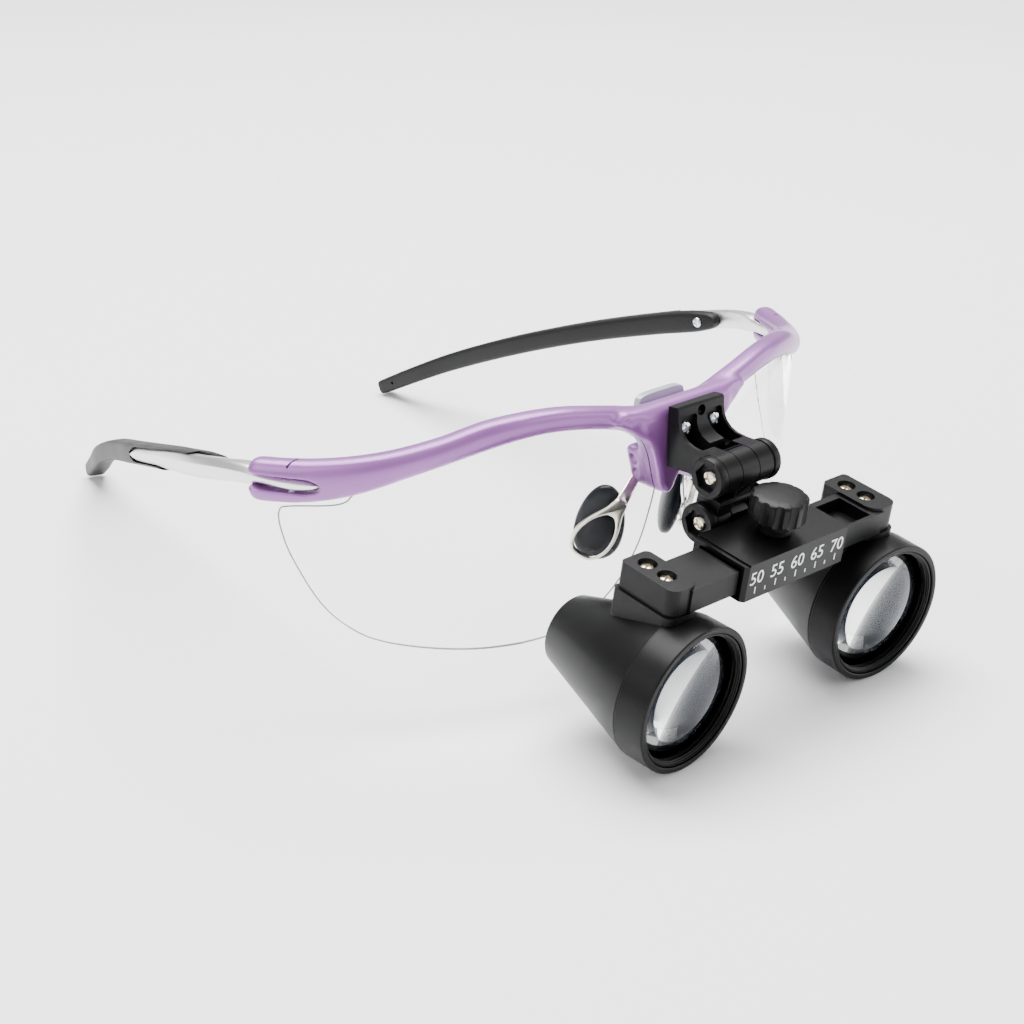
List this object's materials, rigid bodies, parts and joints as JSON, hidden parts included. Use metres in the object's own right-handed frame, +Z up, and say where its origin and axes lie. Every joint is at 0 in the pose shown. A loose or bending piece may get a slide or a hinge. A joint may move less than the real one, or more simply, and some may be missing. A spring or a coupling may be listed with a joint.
{
  "type": "dental loupes",
  "caption": "Sports-frame magnifying loupes: two short telescopes under a flip-up, rack-driven pupil-distance housing, clear wrap lenses, folding temples and nose pads.",
  "frame": {"origin": "on the table, under the middle of the object's bounding box, as it lies on both objective rims and both temple tips", "axes": "+X to the wearer's left, +Y from the front of the telescopes back to the temple tips, +Z up"},
  "size_m": [0.1512, 0.2088, 0.0622],
  "materials": {
    "orchid_paint": "glossy pearl paint",
    "clear_lens": "clear wrap lens",
    "black_anodised": "satin black anodised",
    "satin_silver": "satin silver",
    "black_rubber": "soft-touch black",
    "steel": "bright zinc-plated steel",
    "nickel": "warm nickel-plated steel",
    "coated_glass": "anti-reflection coated glass"
  },
  "bodies": {
    "frame": {"brow_bar": "orchid_paint", "lens_right": "clear_lens", "lens_left": "clear_lens", "bracket": "black_anodised", "bracket_screw_right": "steel", "bracket_screw_left": "steel", "bridge_back_plate": "satin_silver", "flip_hinge_cap_right": "black_anodised", "flip_hinge_cap_left": "black_anodised", "flip_hinge_bolt": "nickel", "nose_pad_right": "black_rubber", "nose_pad_left": "black_rubber", "pad_arm_right": "satin_silver", "pad_arm_left": "satin_silver", "temple_pin_right": "steel", "temple_pin_left": "steel"},
    "link": {"hinge_link": "black_anodised", "tilt_hinge_cap_right": "black_anodised", "tilt_hinge_cap_left": "black_anodised", "tilt_hinge_bolt": "nickel"},
    "housing": {"pd_housing": "black_anodised"},
    "knob": {"thumb_knob": "black_anodised", "pinion_shaft": "nickel"},
    "slider_right": {"slider_right": "black_anodised", "block_screw_right_front": "nickel", "block_screw_right_rear": "nickel", "saddle_right": "black_anodised", "barrel_right": "black_anodised", "objective_ring_right": "black_anodised", "objective_lens_right": "coated_glass", "light_baffle_right": "black_anodised", "eyepiece_lens_right": "coated_glass", "eyepiece_ring_right": "black_anodised"},
    "slider_left": {"slider_left": "black_anodised", "block_screw_left_front": "nickel", "block_screw_left_rear": "nickel", "saddle_left": "black_anodised", "barrel_left": "black_anodised", "objective_ring_left": "black_anodised", "objective_lens_left": "coated_glass", "light_baffle_left": "black_anodised", "eyepiece_lens_left": "coated_glass", "eyepiece_ring_left": "black_anodised"},
    "temple_right": {"temple_arm_right": "satin_silver", "temple_sleeve_right": "black_rubber", "sleeve_screw_right": "steel"},
    "temple_left": {"temple_arm_left": "satin_silver", "temple_sleeve_left": "black_rubber", "sleeve_screw_left": "steel"}
  },
  "joints": [
    {"name": "flip_hinge", "type": "hinge", "parent": "frame", "child": "link", "pos_m": [0, -0.08538, 0.04871], "axis": [-1, 0, 0], "range_deg": [0, 85]},
    {"name": "tilt_hinge", "type": "hinge", "parent": "link", "child": "housing", "pos_m": [0, -0.08318, 0.03871], "axis": [-1, 0, 0], "range_deg": [-8, 3]},
    {"name": "pd_knob_turn", "type": "hinge", "parent": "housing", "child": "knob", "pos_m": [0, -0.09547, 0.03885], "axis": [0, -0.1557, 0.9878], "range_deg": [-68.5, 160]},
    {"name": "pd_slide_right", "type": "slide", "parent": "housing", "child": "slider_right", "axis": [-1, 0, 0], "range_m": [-0.00298, 0.00698]},
    {"name": "pd_slide_left", "type": "slide", "parent": "housing", "child": "slider_left", "axis": [1, 0, 0], "range_m": [-0.00301, 0.00701]},
    {"name": "temple_right_fold", "type": "hinge", "parent": "frame", "child": "temple_right", "pos_m": [-0.0685, -0.03568, 0.04941], "axis": [0, 0, -1], "range_deg": [-10, 74]},
    {"name": "temple_left_fold", "type": "hinge", "parent": "frame", "child": "temple_left", "pos_m": [0.0685, -0.03568, 0.04941], "axis": [0, 0, 1], "range_deg": [-8, 68]}
  ],
  "couplings": [
    {"joint": "pd_knob_turn", "follows": "pd_slide_right", "rad_per_m": 400},
    {"joint": "pd_slide_left", "follows": "pd_slide_right", "ratio": 1}
  ]
}
